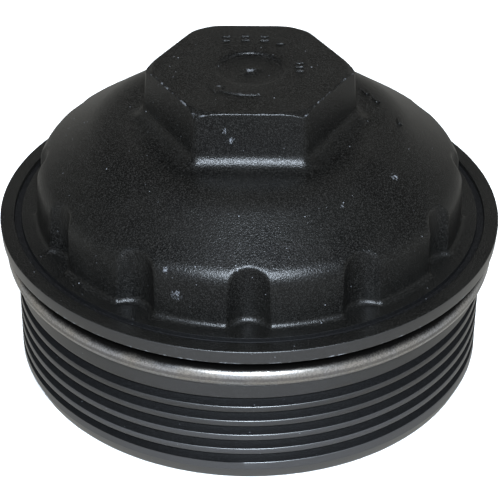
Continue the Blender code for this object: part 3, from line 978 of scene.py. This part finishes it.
    def inside(self):
        sizes = self.sizes
        tilt = math.atan(DOME_SLOPE)
        run = sizes.wall * math.sin(tilt)
        drop = sizes.wall * math.cos(tilt)
        inner_crown = sizes.crown - sizes.wall
        inner_edge = self.crown_edge() - run + (sizes.crown - drop - inner_crown) / DOME_SLOPE
        inner_band = sizes.flute_floor - sizes.wall + 0.6 * MM
        inner_shoulder = inner_crown - DOME_SLOPE * (inner_band - inner_edge)
        boss = 15.2 * MM
        boss_bottom = 39.4 * MM
        bore = 12.0 * MM
        groove = bore + 0.9 * MM
        groove_bottom = boss_bottom + 1.0 * MM
        groove_top = boss_bottom + 2.3 * MM
        recess = 9.0 * MM
        recess_top = 53.5 * MM
        corners = [
            (sizes.thread_radius, sizes.collar_top, 0),
            (sizes.thread_radius, 2.6 * MM, 0.3 * MM),
            (41.0 * MM, 0, 0.4 * MM),
            (sizes.skirt_bore, 0, 0.3 * MM),
            (sizes.skirt_bore, 24.0 * MM, 1.5 * MM),
            (inner_band, sizes.flange_under, 1.5 * MM),
            (inner_band, inner_shoulder, 2.0 * MM),
            (inner_edge, inner_crown, 8.0 * MM),
            (boss, inner_crown, 0.8 * MM),
            (boss, boss_bottom, 0.3 * MM),
            (bore, boss_bottom, 0.3 * MM),
            (bore, groove_bottom, 0),
            (groove, groove_bottom, 0),
            (groove, groove_top, 0),
            (bore, groove_top, 0),
            (bore, inner_crown, 0),
            (recess, inner_crown, 0.3 * MM),
            (recess, recess_top, 0.6 * MM),
            (1.0 * MM, recess_top, 0),
        ]
        outline = rounded(corners)[1:]
        rim = 0.35 * MM
        heights = [height for _, height in outline]
        taper = next(i for i, height in enumerate(heights) if height < 2.3 * MM)
        foot = next(i for i, height in enumerate(heights) if height < rim)

        def wear(radius, height):
            return 0.5 if height < rim else 0.0

        self.turned(outline[:taper], wear, self.SMOOTH)
        self.turned(outline[taper:foot], wear, self.GRAINED)
        self.turned(outline[foot:], wear, self.SMOOTH)
        self.cap(self.rings[-1], recess_top)

    def build(self):
        self.hexagon()
        self.dome_and_band()
        self.flange()
        self.thread()
        self.inside()
        return self.bm


class FILTER_OT_cover(bpy.types.Operator):
    """Moulds the cover with its hexagon, flutes, flange and thread"""

    bl_idname = "filter.cover"
    bl_label = "Cover"

    def execute(self, context):
        bm = CoverMesh(context.scene.filter_cover).build()
        finishes = [finish(name) for name in ("grained_nylon", "smooth_nylon", "nylon_with_painted_shade")]
        piece_from(bm, "cover_moulding", "cover", "filter_cap", finishes, 48)
        return {"FINISHED"}


def raise_outline(bm, outline, place, height, edge):
    """Stands a flat outline up on a surface, with a narrow bevel round its top."""
    layer = bm.verts.layers.float.get("edge_wear")
    count = len(outline)
    inner = []
    for index, point in enumerate(outline):
        before = (point - outline[index - 1]).normalized()
        after = (outline[(index + 1) % count] - point).normalized()
        towards = Vector((-before.y - after.y, before.x + after.x))
        inner.append(point + towards * (edge / max(towards.length_squared / 2, 0.3)))
    rings = []
    root = -0.06 * MM
    # The bevel and the top take edge wear that pales them: rubbed wear, and a painted highlight that
    # brightens the marks.
    for points, level, wear in ((outline, root, 0.0), (outline, height - edge, 0.55), (inner, height, 0.7)):
        ring = [bm.verts.new(place @ Vector((point.x, point.y, level))) for point in points]
        for point in ring:
            point[layer] = wear
        rings.append(ring)
    skin(bm, rings)


class FILTER_OT_marks(bpy.types.Operator):
    """Raises a turn arrow on the hexagon and plain bars beside it and on the dome"""

    bl_idname = "filter.marks"
    bl_label = "Raised marks"

    # Middles of the stacks of bars on the hexagon and how many bars each has, then middles of the bars
    # on the dome, in millimetres.
    TOP_STACKS = ((-4.3, 10.8, 2), (-0.9, 11.0, 2), (2.5, 10.9, 2), (5.3, 9.0, 1), (8.6, 0.5, 3))
    DOME_BARS = ((20.7, 9.7), (22.5, 7.0), (26.4, 0.5))
    BAR_SPACING = 1.43 * MM

    def execute(self, context):
        sizes = context.scene.filter_cover
        high = sizes.mark_height
        bevel = 0.17 * MM
        bm = bmesh.new()
        bm.verts.layers.float.new("edge_wear")
        top = Matrix.Translation((0, 0, COVER_TOP - high))
        raise_outline(bm, self.arrow(), top, high, bevel)
        for x, y, count in self.TOP_STACKS:
            for index in range(count):
                step = (index - (count - 1) / 2) * self.BAR_SPACING
                place = top @ Matrix.Translation((x * MM, y * MM + step, 0))
                raise_outline(bm, self.bar(1.6 * MM, 0.7 * MM), place, high, bevel)
        for point in self.DOME_BARS:
            place = self.on_dome(sizes, Vector(point) * MM)
            raise_outline(bm, self.bar(1.0 * MM, 2.4 * MM), place, 0.26 * MM, 0.12 * MM)
        piece_from(bm, "cover_marks", "cover", "filter_cap", finish("grained_nylon"), 30, is_extra=True)
        return {"FINISHED"}

    def bar(self, long, wide):
        corner = min(long, wide) * 0.3
        signs = ((-1, -1), (1, -1), (1, 1), (-1, 1))
        corners = [(x * long / 2, y * wide / 2, corner) for x, y in signs]
        return [Vector(point) for point in rounded(corners, is_closed=True, arc_step=math.radians(45))]

    def arrow(self):
        """An arc with a pointed head, seen from above, counter-clockwise."""
        tail, neck, tip = (math.radians(angle) for angle in (-80, -122, -141))
        steps = 14
        arc = [tail + (neck - tail) * step / steps for step in range(steps + 1)]
        points = [(9.2, angle) for angle in arc]
        points += [(7.9, neck), (9.55, tip), (11.2, neck)]
        points += [(9.9, angle) for angle in reversed(arc)]
        return [around(radius * MM, angle).to_2d() for radius, angle in points]

    def on_dome(self, sizes, middle):
        """The place and lean of a point on the dome's rounded upper part."""
        start = sizes.band_radius - DOME_RUN - DOME_BEND * math.tan(math.atan(DOME_SLOPE) / 2)
        radius = middle.length
        lean = math.asin(min(max((radius - start) / DOME_BEND, 0.0), 0.5))
        height = sizes.crown - DOME_BEND * (1 - math.cos(lean))
        turn = Matrix.Rotation(math.atan2(middle.y, middle.x), 4, "Z")
        return turn @ Matrix.Translation((radius, 0, height)) @ Matrix.Rotation(lean, 4, "Y")


class FILTER_OT_housing_seal(bpy.types.Operator):
    """Lays the big seal ring in its groove under the flange"""

    bl_idname = "filter.housing_seal"
    bl_label = "Housing seal"

    def execute(self, context):
        cord = (SEAL_TOP - SEAL_BOTTOM) / 2
        centre_radius = SEAL_RADIUS - cord
        centre_height = (SEAL_TOP + SEAL_BOTTOM) / 2
        flash = 0.05 * MM
        count = 32
        outline = []
        for index in range(count):
            angle = -TURN * index / count
            # A moulding line stands a little proud at the outer and the inner equator.
            radius = cord - flash + (flash if index % (count // 2) == 0 else 0)
            rise = radius * math.sin(angle) * cord / (cord - flash)
            outline.append((centre_radius + radius * math.cos(angle), centre_height + rise))
        bm = turned_mesh(outline, 240)
        piece_from(bm, "housing_o_ring", "cover", "housing_seal_ring", finish("seal"), 60)
        return {"FINISHED"}


def ring_section(node, inner, fillet, thickness=None):
    """A ring's outline from its node's box, its inner radius and its edge radius."""
    outer, low, high = reach_of(node)
    if thickness:
        outer = inner + thickness
    corners = [(outer, high, fillet), (outer, low, fillet), (inner, low, fillet), (inner, high, fillet)]
    return rounded(corners, is_closed=True)


def ring_piece(name, node, body, inner, fillet, material, steps=96):
    bm = turned_mesh(ring_section(node, inner, fillet), steps)
    return piece_from(bm, name, body, node, finish(material))


def snap_ring(name, node, body, inner, thickness, gap_degrees):
    """A ring with a gap, turned through less than a whole turn."""
    outline = ring_section(node, inner, 0.2 * MM, thickness)
    gap = 3.0 * MM / (inner + thickness / 2)
    start = math.radians(gap_degrees) + gap / 2
    piece_from(turned_mesh(outline, 90, TURN - gap, start), name, body, node, finish("spring_steel"))


class FILTER_OT_valve_cage(bpy.types.Operator):
    """Moulds the cage that holds the bypass valve, with its snap rings and its brass seat"""

    bl_idname = "filter.valve_cage"
    bl_label = "Valve cage"

    def execute(self, context):
        widest, bottom, top = reach_of("valve_cage")
        shoulder = 34.7 * MM
        neck = 10.2 * MM
        hub = 11.6 * MM
        hub_bottom = 42.0 * MM
        spigot = 12.6 * MM
        bore = 10.4 * MM
        groove = bore + 0.9 * MM
        groove_bottom = bottom + 0.7 * MM
        groove_top = groove_bottom + 1.4 * MM
        collar = shoulder + 1.5 * MM
        seat = 31.5 * MM
        throat = 7.7 * MM
        corners = [
            (0.0, top, 0),
            (hub, top, 0.4 * MM),
            (hub, hub_bottom, 0.2 * MM),
            (neck, hub_bottom, 0.2 * MM),
            (neck, collar, 0.5 * MM),
            (widest, collar, 0.4 * MM),
            (widest, shoulder, 0.3 * MM),
            (spigot, shoulder, 0.3 * MM),
            (spigot, bottom, 0.7 * MM),
            (bore, bottom, 0.2 * MM),
            (bore, groove_bottom, 0),
            (groove, groove_bottom, 0),
            (groove, groove_top, 0),
            (bore, groove_top, 0),
            (bore, seat, 0.2 * MM),
            (throat, seat, 0.2 * MM),
            (throat, hub_bottom, 0.3 * MM),
            (0.0, hub_bottom, 0),
        ]
        bm = turned_mesh(rounded(corners), 96)
        cage = piece_from(bm, "cage_moulding", "cage", "valve_cage", finish("smooth_nylon"))
        window = 2.6 * MM
        middle = shoulder + 2.0 * MM + window / 2
        size = (24 * MM, 8 * MM, window)
        cut(cage, [box_cutter(size, (0, 0, middle), math.radians(angle)) for angle in (0, 90)])
        snap_ring("cage_circlip", "cage_snap_ring", "cover", 10.7 * MM, 1.9 * MM, 60)
        snap_ring("seat_circlip", "spring_seat_clip", "cage", 8.9 * MM, 2.1 * MM, 120)
        ring_piece("brass_seat", "valve_seat_ring", "cage", 6.2 * MM, 0.25 * MM, "brass")
        return {"FINISHED"}


class FILTER_OT_valve(bpy.types.Operator):
    """Builds the valve's disc, its rubber face, its washer and its stem"""

    bl_idname = "filter.valve"
    bl_label = "Bypass valve"

    def execute(self, context):
        hole = 1.7 * MM
        ring_piece("valve_plate", "valve_disc", "valve", hole, 0.25 * MM, "steel")
        ring_piece("valve_face", "valve_disc_seal", "valve", hole, 0.25 * MM, "rubber")
        ring_piece("face_washer", "stem_washer", "valve", hole, 0.15 * MM, "steel", 64)
        head, bottom, top = reach_of("valve_stem")
        shank = 1.4 * MM
        head_under = top - 0.8 * MM
        corners = [
            (0.0, top, 0),
            (head * 0.7, top - 0.05 * MM, 0.3 * MM),
            (head, top - 0.5 * MM, 0.15 * MM),
            (head, head_under, 0.1 * MM),
            (shank, head_under, 0.1 * MM),
            (shank, bottom + 0.4 * MM, 0.1 * MM),
            (shank * 0.7, bottom, 0),
            (0.0, bottom, 0),
        ]
        bm = turned_mesh(rounded(corners), 48)
        piece_from(bm, "stem_rivet", "valve", "valve_stem", finish("spring_steel"))
        return {"FINISHED"}


class FILTER_OT_spring(bpy.types.Operator):
    """Winds the bypass spring with closed ends, and presses the plate that it stands on"""

    bl_idname = "filter.spring"
    bl_label = "Bypass spring"

    def execute(self, context):
        sizes = context.scene.filter_parts
        self.wind(sizes)
        self.press_seat()
        return {"FINISHED"}

    def wind(self, sizes):
        half_wire = sizes.wire / 2
        radius = SPRING_RADIUS - half_wire
        bottom = SPRING_BOTTOM + half_wire
        top = SPRING_TOP - half_wire
        turns = sizes.spring_turns + 1
        per_turn = 36
        sides = [TURN * side / 12 for side in range(12)]
        bm = bmesh.new()
        rings = []
        for step in range(round(turns * per_turn) + 1):
            turn = step / per_turn
            share = min(max((turn - 0.5) / (turns - 1), 0), 1)
            # The first and the last half turn lie nearly flat, as ground ends do.
            flat = 0.12 * (min(turn, 0.5) + min(max(turn - turns + 0.5, 0), 0.5))
            height = bottom + (top - bottom) * (share * 0.88 + flat)
            ring = []
            for side in sides:
                place = around(radius + half_wire * math.cos(side), turn * TURN)
                place.z = height + half_wire * math.sin(side)
                ring.append(bm.verts.new(place))
            rings.append(ring)
        skin(bm, rings)
        spring = piece_from(bm, "valve_spring", "cage", "bypass_spring", finish("spring_steel"))
        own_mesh(spring)

    def press_seat(self):
        outer, bottom, top = reach_of("spring_seat")
        plate = top - 1.0 * MM
        bush = 3.3 * MM
        hole = 1.8 * MM
        corners = [
            (outer, top, 0.2 * MM),
            (outer, plate, 0.2 * MM),
            (bush, plate, 0.4 * MM),
            (bush, bottom, 0.2 * MM),
            (hole, bottom, 0.1 * MM),
            (hole, top, 0.1 * MM),
        ]
        bm = turned_mesh(rounded(corners, is_closed=True), 96)
        seat = piece_from(bm, "seat_plate", "cage", "spring_seat", finish("steel"))
        centre = (7.9 * MM, 0, plate)
        cut(seat, [rod_cutter(1.5 * MM, 4 * MM, centre, SIXTH * index) for index in range(6)])


class FILTER_OT_end_plates(bpy.types.Operator):
    """Presses the element's end plates with their stiffening beads, and sets their seals"""

    bl_idname = "filter.end_plates"
    bl_label = "End plates"

    def execute(self, context):
        self.plate("upper", 14.2 * MM, 15.5 * MM)
        self.plate("lower", 10.8 * MM, 12.3 * MM)
        ring_piece("cage_seal", "upper_bore_seal", "element", 12.9 * MM, 0.5 * MM, "rubber")
        ring_piece("standpipe_seal", "lower_bore_seal", "element", 9.2 * MM, 0.5 * MM, "rubber")
        for end in ("upper", "lower"):
            node = f"{end}_potting_ring"
            ring_piece(f"{end}_potting", node, "element", 17.0 * MM, 0.2 * MM, "plastisol")
        return {"FINISHED"}

    def plate(self, end, bore, wide_bore):
        """A round plate whose lip holds the media, with two beads pressed into its face. Its bore is
        wider in the seal's recess."""
        node = f"{end}_end_plate"
        outer, low, high = reach_of(node)
        face, lip_end = (high, low) if end == "upper" else (low, high)
        inward = math.copysign(MM, lip_end - face)
        inside = face + 2.0 * inward
        wall = outer - 0.8 * MM
        corners = [(outer, lip_end, 0.3 * MM), (outer, face, 1.0 * MM)]
        for middle in (27.0, 20.5):
            for offset, depth in ((1.6, 0), (0.9, 0.35), (-0.9, 0.35), (-1.6, 0)):
                corners.append(((middle + offset) * MM, face + depth * inward, 0.3 * MM))
        if end == "upper":
            # The seal's recess opens outwards here, and inwards in the lower plate.
            step = inside + 0.7 * MM
            corners += [(wide_bore, face, 0.2 * MM), (wide_bore, step, 0), (bore, step, 0), (bore, inside, 0)]
        else:
            corners += [(bore, face, 0.2 * MM), (bore, face + 0.6 * inward, 0)]
            corners += [(wide_bore, face + 0.6 * inward, 0), (wide_bore, inside, 0)]
        corners += [(wall, inside, 0.2 * MM), (wall, lip_end, 0.3 * MM)]
        bm = turned_mesh(rounded(corners, is_closed=True), 128)
        piece_from(bm, f"{end}_plate", "element", node, finish("steel"))


class FILTER_OT_media(bpy.types.Operator):
    """Folds the paper and closes its seam with a clip"""

    bl_idname = "filter.media"
    bl_label = "Pleated media"

    INNER_RADIUS = 17.4 * MM
    ROWS = 14

    def execute(self, context):
        sizes = context.scene.filter_parts
        self.fold(sizes)
        self.clip(sizes)
        return {"FINISHED"}

    def sheet_line(self, sizes):
        """The middle of the sheet, seen from above: straight flanks with small round folds."""
        half = sizes.paper / 2
        tip = MEDIA_RADIUS - half
        valley = self.INNER_RADIUS + half
        fold = 0.18
        per_pleat = 14
        line = []
        for index in range(sizes.pleats * per_pleat):
            phase = index / per_pleat % 1
            wave = abs(2 * phase - 1) * 2 - 1
            rounding = fold * 0.5
            if abs(wave) > 1 - rounding:
                over = (abs(wave) - 1 + rounding) / rounding
                wave = math.copysign(1 - rounding + rounding * (over - over**2 / 2), wave)
            radius = (tip + valley) / 2 + (tip - valley) / 2 * wave / (1 - rounding / 2)
            angle = index / (sizes.pleats * per_pleat) * TURN
            lean = 0.012 * math.sin(3 * angle) + 0.008 * math.sin(7 * angle + 1)
            angle += lean * (radius - valley) / (tip - valley) * 0.5
            line.append(around(radius, angle))
        return line

    def fold(self, sizes):
        line = self.sheet_line(sizes)
        count = len(line)
        half = sizes.paper / 2
        sides = ([], [])
        for index, point in enumerate(line):
            along = (line[(index + 1) % count] - line[index - 1]).normalized()
            normal = Vector((along.y, -along.x, 0))
            sides[0].append(point + normal * half)
            sides[1].append(point - normal * half)
        bm = bmesh.new()
        layers = []
        for row in range(self.ROWS + 1):
            height = MEDIA_BOTTOM + (MEDIA_TOP - MEDIA_BOTTOM) * row / self.ROWS
            layers.append([[bm.verts.new((x, y, height)) for x, y, _ in side] for side in sides])
        for index in range(count):
            after = (index + 1) % count
            for below, above in zip(layers, layers[1:]):
                for low, high in zip(below, above):
                    bm.faces.new((low[index], low[after], high[after], high[index]))
            for one, other in (layers[0], layers[-1]):
                bm.faces.new((one[index], one[after], other[after], other[index]))
        piece_from(bm, "folded_paper", "element", "pleated_media", finish("paper"), 70)

    def clip(self, sizes):
        """A folded strip that grips the two ends of the sheet in one valley."""
        angle = math.radians(360 / sizes.pleats * 0.5)
        depth = 4.0 * MM
        width = 1.0 * MM
        middle = 26.5 * MM
        inner = middle - depth / 2
        outer = middle + depth / 2
        slot_end = outer - 1.0 * MM
        corners = [
            (inner, -width / 2, 0.2 * MM),
            (outer, -width / 2, 0.45 * MM),
            (outer, width / 2, 0.45 * MM),
            (inner, width / 2, 0.2 * MM),
            (inner, 0.18 * MM, 0),
            (slot_end, 0.12 * MM, 0),
            (slot_end, -0.12 * MM, 0),
            (inner, -0.18 * MM, 0),
        ]
        outline = rounded(corners, is_closed=True)
        turn = Matrix.Rotation(angle, 3, "Z")
        bm = bmesh.new()
        rings = []
        rows = 12
        for row in range(rows + 1):
            height = MEDIA_BOTTOM + (MEDIA_TOP - MEDIA_BOTTOM) * row / rows
            rings.append([bm.verts.new(turn @ Vector((x, y, height))) for x, y in outline])
        skin(bm, rings)
        piece_from(bm, "seam_strip", "element", "pleat_seam_clip", finish("steel"))


class FILTER_OT_centre_tube(bpy.types.Operator):
    """Rolls the slotted tube that the paper leans on"""

    bl_idname = "filter.centre_tube"
    bl_label = "Centre tube"

    def execute(self, context):
        inner = reach_of("centre_tube")[0] - 1.3 * MM
        tube = ring_piece("punched_tube", "centre_tube", "element", inner, 0.2 * MM, "steel", 128)
        slot = (40 * MM, 6.5 * MM, 3.6 * MM)
        cutters = []
        for row in range(4):
            centre = (0, 0, (7.2 + row * 6.7) * MM)
            for index in range(3):
                cutters.append(box_cutter(slot, centre, SIXTH * (index + 0.5 * (row % 2))))
        cut(tube, cutters)
        return {"FINISHED"}


class FILTER_OT_stage(bpy.types.Operator):
    """Sets the floor, the lamps and the camera"""

    bl_idname = "filter.stage"
    bl_label = "Stage"

    def execute(self, context):
        stage = context.scene.filter_stage
        self.floor(stage)
        self.lamps(context)
        self.camera(context, stage)
        return {"FINISHED"}

    def floor(self, stage):
        bm = bmesh.new()
        bmesh.ops.create_grid(bm, x_segments=1, y_segments=1, size=6.0)
        floor = linked("floor", mesh_from(bm, "floor"))
        floor.data.materials.append(floor_finish(stage))
        floor.location.z = -0.05 * MM
        floor.visible_glossy = False

    def lamp(self, name, place, size, power, tint=(1, 1, 1), mirrored=True):
        data = bpy.data.lights.new(name, "AREA")
        data.shape = "RECTANGLE"
        data.size, data.size_y = size
        data.energy = power
        data.color = tint
        lamp = linked(name, data)
        lamp.location = place
        aim = Vector((0, 0, 0.03)) - Vector(place)
        lamp.rotation_euler = aim.to_track_quat("-Z", "Y").to_euler()
        lamp.visible_glossy = mirrored

    def lamps(self, context):
        self.lamp("front_lamp", (0.02, -0.63, 0.54), (0.16, 0.10), 20.0, (0.78, 0.88, 1.0))
        self.lamp("ceiling_panel", (0.0, 0.45, 1.25), (1.5, 1.3), 20.0, (1.0, 0.98, 0.95), False)
        world = bpy.data.worlds.new("studio")
        context.scene.world = world
        sky = Nodes(world)
        direction = sky.node("ShaderNodeTexCoord").outputs["Generated"]
        split = sky.node("ShaderNodeSeparateXYZ", None, {"Vector": direction})
        rise = Value(sky, split.outputs["Z"])
        depth = Value(sky, split.outputs["Y"])
        wall = sky.ramp(rise, 0.16, 0.42, 1.0, 0.0)
        # The side that the lamp stands on is the brighter one.
        side = sky.ramp(depth, -0.85, -0.1, 1.0, 0.0)
        lit = sky.mix(side, (0.38, 0.38, 0.36), (0.52, 0.53, 0.54))
        background = sky.tree.nodes["Background"]
        sky.feed(background.inputs["Color"], sky.mix(wall, (0.115, 0.113, 0.106), lit))
        context.scene.view_settings.view_transform = "Standard"

    def camera(self, context, stage):
        data = bpy.data.cameras.new("camera")
        data.lens = stage.lens
        data.sensor_width = 36.0
        data.shift_x = stage.shift
        data.clip_start = 0.01
        data.clip_end = 20.0
        camera = linked("camera", data)
        rise = stage.elevation
        back = Vector((0, -math.cos(rise), math.sin(rise)))
        camera.location = Vector((0, 0, stage.aim_height)) + back * stage.distance
        looking = (-back).to_track_quat("-Z", "Y").to_matrix()
        camera.rotation_euler = (looking @ Matrix.Rotation(stage.roll, 3, "Z")).to_euler()
        context.scene.camera = camera


OPERATORS = (
    FILTER_OT_stage,
    FILTER_OT_cover,
    FILTER_OT_marks,
    FILTER_OT_housing_seal,
    FILTER_OT_valve_cage,
    FILTER_OT_valve,
    FILTER_OT_spring,
    FILTER_OT_end_plates,
    FILTER_OT_media,
    FILTER_OT_centre_tube,
)


class FILTER_PT_panel(bpy.types.Panel):
    """Lists the pieces"""

    bl_label = "Oil filter cover"
    bl_idname = "FILTER_PT_panel"
    bl_space_type = "VIEW_3D"
    bl_region_type = "UI"
    bl_category = "Oil filter"

    def draw(self, context):
        for operator in OPERATORS:
            self.layout.operator(operator.bl_idname)


GROUPS = {
    "filter_cover": CoverSizes,
    "filter_parts": PartSizes,
    "filter_finishes": Finishes,
    "filter_stage": StageSizes,
}


def register():
    for group in GROUPS.values():
        bpy.utils.register_class(group)
    for name, group in GROUPS.items():
        setattr(bpy.types.Scene, name, bpy.props.PointerProperty(type=group))
    for operator in OPERATORS:
        bpy.utils.register_class(operator)
    bpy.utils.register_class(FILTER_PT_panel)


def unregister():
    bpy.utils.unregister_class(FILTER_PT_panel)
    for operator in reversed(OPERATORS):
        bpy.utils.unregister_class(operator)
    for name, group in GROUPS.items():
        delattr(bpy.types.Scene, name)
        bpy.utils.unregister_class(group)


def main():
    register()
    for operator in OPERATORS:
        getattr(bpy.ops.filter, operator.bl_idname.split(".")[1])()


if __name__ == "__main__":
    main()
